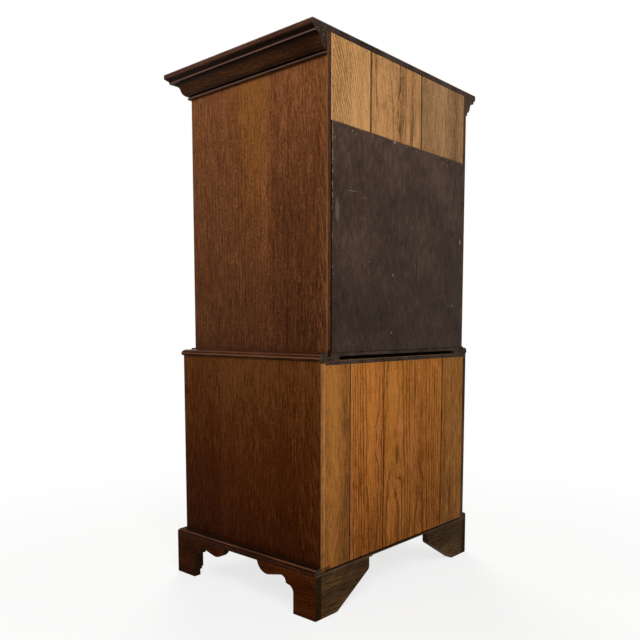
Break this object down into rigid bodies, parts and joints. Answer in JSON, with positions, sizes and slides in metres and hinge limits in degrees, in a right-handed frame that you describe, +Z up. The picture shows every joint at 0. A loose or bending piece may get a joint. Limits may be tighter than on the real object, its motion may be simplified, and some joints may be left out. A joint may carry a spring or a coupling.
{
  "type": "chest-on-chest",
  "caption": "Oak chest of drawers in two stages, with cornice, waist moulding, plank back, ogee bracket feet and bail handles.",
  "frame": {"origin": "on the floor, under the middle of the whole object's box", "axes": "+Z up, -Y out of the drawer fronts, +X to the right as seen from the front"},
  "size_m": [0.86, 0.652, 1.65],
  "materials": {
    "oak": "waxed",
    "dark_oak": "waxed",
    "pale_oak": "unfinished",
    "dark_panel": "stained",
    "lining_oak": "unfinished",
    "brass": "aged"
  },
  "bodies": {
    "lower_case": {"lower_side_left": "oak", "lower_side_right": "oak", "lower_top_board": "dark_oak", "lower_bottom_board": "dark_oak", "lower_backboards": "pale_oak", "lower_rails": "oak", "lower_runners": "lining_oak", "waist_moulding": "dark_oak", "base_frame": "dark_oak", "base_moulding": "dark_oak", "front_feet": "dark_oak", "rear_feet": "dark_oak", "foot_glue_blocks": "lining_oak"},
    "upper_case": {"upper_side_left": "oak", "upper_side_right": "oak", "upper_top_board": "dark_oak", "upper_bottom_board": "dark_oak", "upper_backboards": "pale_oak", "back_cover_panel": "dark_panel", "upper_rails": "oak", "upper_runners": "lining_oak", "cornice": "dark_oak"},
    "drawer_top_left": {"drawer_top_left_front": "oak", "drawer_top_left_box": "lining_oak", "drawer_top_left_brasses": "brass"},
    "drawer_top_left_bail": {"drawer_top_left_bail": "brass"},
    "drawer_top_right": {"drawer_top_right_front": "oak", "drawer_top_right_box": "lining_oak", "drawer_top_right_brasses": "brass"},
    "drawer_top_right_bail": {"drawer_top_right_bail": "brass"},
    "drawer_upper_1": {"drawer_upper_1_front": "oak", "drawer_upper_1_box": "lining_oak", "drawer_upper_1_brasses": "brass"},
    "drawer_upper_1_bail_left": {"drawer_upper_1_bail_left": "brass"},
    "drawer_upper_1_bail_right": {"drawer_upper_1_bail_right": "brass"},
    "drawer_upper_2": {"drawer_upper_2_front": "oak", "drawer_upper_2_box": "lining_oak", "drawer_upper_2_brasses": "brass"},
    "drawer_upper_2_bail_left": {"drawer_upper_2_bail_left": "brass"},
    "drawer_upper_2_bail_right": {"drawer_upper_2_bail_right": "brass"},
    "drawer_upper_3": {"drawer_upper_3_front": "oak", "drawer_upper_3_box": "lining_oak", "drawer_upper_3_brasses": "brass"},
    "drawer_upper_3_bail_left": {"drawer_upper_3_bail_left": "brass"},
    "drawer_upper_3_bail_right": {"drawer_upper_3_bail_right": "brass"},
    "drawer_lower_1": {"drawer_lower_1_front": "oak", "drawer_lower_1_box": "lining_oak", "drawer_lower_1_brasses": "brass"},
    "drawer_lower_1_bail_left": {"drawer_lower_1_bail_left": "brass"},
    "drawer_lower_1_bail_right": {"drawer_lower_1_bail_right": "brass"},
    "drawer_lower_2": {"drawer_lower_2_front": "oak", "drawer_lower_2_box": "lining_oak", "drawer_lower_2_brasses": "brass"},
    "drawer_lower_2_bail_left": {"drawer_lower_2_bail_left": "brass"},
    "drawer_lower_2_bail_right": {"drawer_lower_2_bail_right": "brass"},
    "drawer_lower_3": {"drawer_lower_3_front": "oak", "drawer_lower_3_box": "lining_oak", "drawer_lower_3_brasses": "brass"},
    "drawer_lower_3_bail_left": {"drawer_lower_3_bail_left": "brass"},
    "drawer_lower_3_bail_right": {"drawer_lower_3_bail_right": "brass"}
  },
  "joints": [
    {"name": "upper_case_lift", "type": "slide", "parent": "lower_case", "child": "upper_case", "axis": [0, 0, 1], "range_m": [0, 0.06]},
    {"name": "drawer_top_left_slide", "type": "slide", "parent": "upper_case", "child": "drawer_top_left", "axis": [0, -1, 0], "range_m": [0, 0.42]},
    {"name": "drawer_top_left_bail_swing", "type": "hinge", "parent": "drawer_top_left", "child": "drawer_top_left_bail", "pos_m": [-0.178, -0.285, 1.491], "axis": [-1, 0, 0], "range_deg": [-24, 156]},
    {"name": "drawer_top_right_slide", "type": "slide", "parent": "upper_case", "child": "drawer_top_right", "axis": [0, -1, 0], "range_m": [0, 0.42]},
    {"name": "drawer_top_right_bail_swing", "type": "hinge", "parent": "drawer_top_right", "child": "drawer_top_right_bail", "pos_m": [0.178, -0.285, 1.491], "axis": [-1, 0, 0], "range_deg": [-24, 156]},
    {"name": "drawer_upper_1_slide", "type": "slide", "parent": "upper_case", "child": "drawer_upper_1", "axis": [0, -1, 0], "range_m": [0, 0.42]},
    {"name": "drawer_upper_1_bail_left_swing", "type": "hinge", "parent": "drawer_upper_1", "child": "drawer_upper_1_bail_left", "pos_m": [-0.181, -0.285, 1.31], "axis": [-1, 0, 0], "range_deg": [-24, 156]},
    {"name": "drawer_upper_1_bail_right_swing", "type": "hinge", "parent": "drawer_upper_1", "child": "drawer_upper_1_bail_right", "pos_m": [0.181, -0.285, 1.31], "axis": [-1, 0, 0], "range_deg": [-24, 156]},
    {"name": "drawer_upper_2_slide", "type": "slide", "parent": "upper_case", "child": "drawer_upper_2", "axis": [0, -1, 0], "range_m": [0, 0.42]},
    {"name": "drawer_upper_2_bail_left_swing", "type": "hinge", "parent": "drawer_upper_2", "child": "drawer_upper_2_bail_left", "pos_m": [-0.181, -0.285, 1.107], "axis": [-1, 0, 0], "range_deg": [-24, 156]},
    {"name": "drawer_upper_2_bail_right_swing", "type": "hinge", "parent": "drawer_upper_2", "child": "drawer_upper_2_bail_right", "pos_m": [0.181, -0.285, 1.107], "axis": [-1, 0, 0], "range_deg": [-24, 156]},
    {"name": "drawer_upper_3_slide", "type": "slide", "parent": "upper_case", "child": "drawer_upper_3", "axis": [0, -1, 0], "range_m": [0, 0.42]},
    {"name": "drawer_upper_3_bail_left_swing", "type": "hinge", "parent": "drawer_upper_3", "child": "drawer_upper_3_bail_left", "pos_m": [-0.181, -0.285, 0.882], "axis": [-1, 0, 0], "range_deg": [-24, 156]},
    {"name": "drawer_upper_3_bail_right_swing", "type": "hinge", "parent": "drawer_upper_3", "child": "drawer_upper_3_bail_right", "pos_m": [0.181, -0.285, 0.882], "axis": [-1, 0, 0], "range_deg": [-24, 156]},
    {"name": "drawer_lower_1_slide", "type": "slide", "parent": "lower_case", "child": "drawer_lower_1", "axis": [0, -1, 0], "range_m": [0, 0.42]},
    {"name": "drawer_lower_1_bail_left_swing", "type": "hinge", "parent": "drawer_lower_1", "child": "drawer_lower_1_bail_left", "pos_m": [-0.206, -0.313, 0.645], "axis": [-1, 0, 0], "range_deg": [-24, 156]},
    {"name": "drawer_lower_1_bail_right_swing", "type": "hinge", "parent": "drawer_lower_1", "child": "drawer_lower_1_bail_right", "pos_m": [0.206, -0.313, 0.645], "axis": [-1, 0, 0], "range_deg": [-24, 156]},
    {"name": "drawer_lower_2_slide", "type": "slide", "parent": "lower_case", "child": "drawer_lower_2", "axis": [0, -1, 0], "range_m": [0, 0.42]},
    {"name": "drawer_lower_2_bail_left_swing", "type": "hinge", "parent": "drawer_lower_2", "child": "drawer_lower_2_bail_left", "pos_m": [-0.206, -0.313, 0.458], "axis": [-1, 0, 0], "range_deg": [-24, 156]},
    {"name": "drawer_lower_2_bail_right_swing", "type": "hinge", "parent": "drawer_lower_2", "child": "drawer_lower_2_bail_right", "pos_m": [0.206, -0.313, 0.458], "axis": [-1, 0, 0], "range_deg": [-24, 156]},
    {"name": "drawer_lower_3_slide", "type": "slide", "parent": "lower_case", "child": "drawer_lower_3", "axis": [0, -1, 0], "range_m": [0, 0.42]},
    {"name": "drawer_lower_3_bail_left_swing", "type": "hinge", "parent": "drawer_lower_3", "child": "drawer_lower_3_bail_left", "pos_m": [-0.206, -0.313, 0.253], "axis": [-1, 0, 0], "range_deg": [-24, 156]},
    {"name": "drawer_lower_3_bail_right_swing", "type": "hinge", "parent": "drawer_lower_3", "child": "drawer_lower_3_bail_right", "pos_m": [0.206, -0.313, 0.253], "axis": [-1, 0, 0], "range_deg": [-24, 156]}
  ]
}
